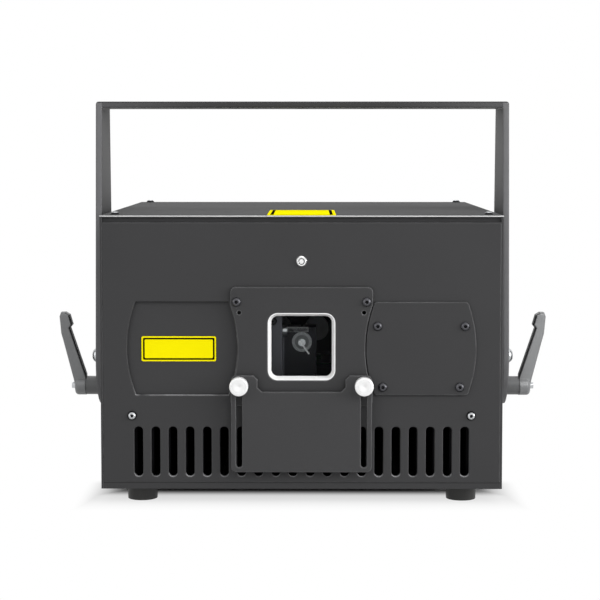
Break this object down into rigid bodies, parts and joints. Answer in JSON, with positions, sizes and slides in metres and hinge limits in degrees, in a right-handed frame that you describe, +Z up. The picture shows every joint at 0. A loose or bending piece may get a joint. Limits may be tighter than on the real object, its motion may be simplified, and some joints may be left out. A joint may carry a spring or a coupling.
{
  "type": "laser show projector",
  "caption": "Dark grey laser show projector in a U bracket with clamp levers, a bevelled beam window, a sliding shutter plate, vent slots and rubber feet.",
  "frame": {"origin": "on the floor, under the middle of the case", "axes": "+X right seen from the front, +Y to the back, +Z up"},
  "size_m": [0.4472, 0.3749, 0.3347],
  "materials": {
    "case_paint": "fine textured dark grey powder coat",
    "bracket_paint": "fine textured dark grey powder coat",
    "bright_metal": "bright turned or bevelled bare metal",
    "machined_aluminium": "milled, natural anodised",
    "black_anodise": "black anodised aluminium",
    "chrome_plate": "polished plating",
    "screw_steel": "zinc plated steel",
    "black_steel": "black oxide steel",
    "foot_rubber": "matt moulded rubber",
    "marker_yellow": "enamel yellow with a dark border line",
    "window": "clear coated glass",
    "first_surface_mirror": "front-coated mirror",
    "lever_casting": "die-cast zinc, dark coated",
    "circuit_board": "solder resist green",
    "black_plastic": "matt black moulding",
    "lamp_lens": "clear diffusing lens",
    "screen": "dark glossy screen window",
    "key_brass": "nickel-brass key"
  },
  "bodies": {
    "case": {"base_tray": "case_paint", "front_panel": "case_paint", "rear_panel": "case_paint", "left_side_panel": "case_paint", "right_side_panel": "case_paint", "top_cover": "case_paint", "rubber_feet": "foot_rubber", "case_screws": "screw_steel", "plate_screws": "black_steel", "aperture_plate": "case_paint", "aperture_bezel": "bright_metal", "window_glass": "window", "blanking_plate": "case_paint", "access_cover": "case_paint", "marker_plates": "marker_yellow", "shutter_spacers": "black_plastic", "emission_bezel": "chrome_plate", "emission_lens": "lamp_lens", "pivot_spacers": "black_steel", "clamp_spacers": "black_steel", "backing_plates": "screw_steel", "pivot_screws": "screw_steel", "optical_deck": "machined_aluminium", "heat_sink": "black_anodise", "red_laser": "machined_aluminium", "green_laser": "machined_aluminium", "blue_laser": "machined_aluminium", "mirror_posts": "machined_aluminium", "combining_mirrors": "first_surface_mirror", "scanner_block": "black_anodise", "x_galvo_motor": "machined_aluminium", "y_galvo_motor": "machined_aluminium", "driver_board": "circuit_board", "control_board": "circuit_board", "power_supply": "machined_aluminium", "fan_frames": "black_plastic", "power_inlet": "black_plastic", "signal_sockets": "screw_steel", "key_lock": "chrome_plate", "display": "screen", "safety_eye": "screw_steel"},
    "bracket": {"bracket": "bracket_paint"},
    "shutter": {"shutter_plate": "case_paint"},
    "left_thumb": {"left_thumb_screw": "bright_metal"},
    "right_thumb": {"right_thumb_screw": "bright_metal"},
    "left_lever": {"left_lever_stud": "black_steel", "left_lever_screw": "screw_steel"},
    "right_lever": {"right_lever_stud": "black_steel", "right_lever_screw": "screw_steel"},
    "left_handle": {"left_lever_handle": "lever_casting"},
    "right_handle": {"right_lever_handle": "lever_casting"},
    "x_scanner": {"x_scan_shaft": "screw_steel", "x_scan_mirror": "first_surface_mirror"},
    "y_scanner": {"y_scan_shaft": "screw_steel", "y_scan_mirror": "first_surface_mirror"},
    "left_fan": {"left_fan_rotor": "black_plastic"},
    "right_fan": {"right_fan_rotor": "black_plastic"},
    "turned_key": {"key": "key_brass"},
    "menu": {"menu_knob": "black_plastic"}
  },
  "joints": [
    {"name": "bracket_tilt", "type": "hinge", "parent": "case", "child": "bracket", "pos_m": [0, 0, 0.102], "axis": [1, 0, 0], "range_deg": [-65, 65]},
    {"name": "shutter_slide", "type": "slide", "parent": "case", "child": "shutter", "axis": [0, 0, 1], "range_m": [0, 0.064]},
    {"name": "left_thumb_turn", "type": "hinge", "parent": "case", "child": "left_thumb", "pos_m": [-0.051, -0.18, 0.0996], "axis": [0, -1, 0], "range_deg": [0, 360]},
    {"name": "left_lever_turn", "type": "hinge", "parent": "case", "child": "left_lever", "pos_m": [-0.19, 0, 0.0742], "axis": [-1, 0, 0], "range_deg": [0, 170]},
    {"name": "left_lever_lift", "type": "slide", "parent": "left_lever", "child": "left_handle", "axis": [-1, 0, 0], "range_m": [0, 0.0044], "stiffness_N_per_m": 1500, "springref_m": -0.002},
    {"name": "left_fan_spin", "type": "hinge", "parent": "case", "child": "left_fan", "pos_m": [-0.08, 0.16, 0.0425], "axis": [0, 1, 0], "continuous": true},
    {"name": "right_thumb_turn", "type": "hinge", "parent": "case", "child": "right_thumb", "pos_m": [0.051, -0.18, 0.0996], "axis": [0, -1, 0], "range_deg": [0, 360]},
    {"name": "right_lever_turn", "type": "hinge", "parent": "case", "child": "right_lever", "pos_m": [0.19, 0, 0.0742], "axis": [1, 0, 0], "range_deg": [0, 170]},
    {"name": "right_lever_lift", "type": "slide", "parent": "right_lever", "child": "right_handle", "axis": [1, 0, 0], "range_m": [0, 0.0044], "stiffness_N_per_m": 1500, "springref_m": -0.002},
    {"name": "right_fan_spin", "type": "hinge", "parent": "case", "child": "right_fan", "pos_m": [0.08, 0.16, 0.0425], "axis": [0, 1, 0], "continuous": true},
    {"name": "scan_x", "type": "hinge", "parent": "case", "child": "x_scanner", "pos_m": [0, -0.117, 0.1275], "axis": [0, 1, 0], "range_deg": [-15, 15]},
    {"name": "scan_y", "type": "hinge", "parent": "case", "child": "y_scanner", "pos_m": [0, -0.117, 0.139], "axis": [1, 0, 0], "range_deg": [-15, 15]},
    {"name": "key_turn", "type": "hinge", "parent": "case", "child": "turned_key", "pos_m": [0.118, 0.17, 0.175], "axis": [0, 1, 0], "range_deg": [0, 90]},
    {"name": "menu_turn", "type": "hinge", "parent": "case", "child": "menu", "pos_m": [-0.078, 0.17, 0.175], "axis": [0, 1, 0], "continuous": true}
  ]
}
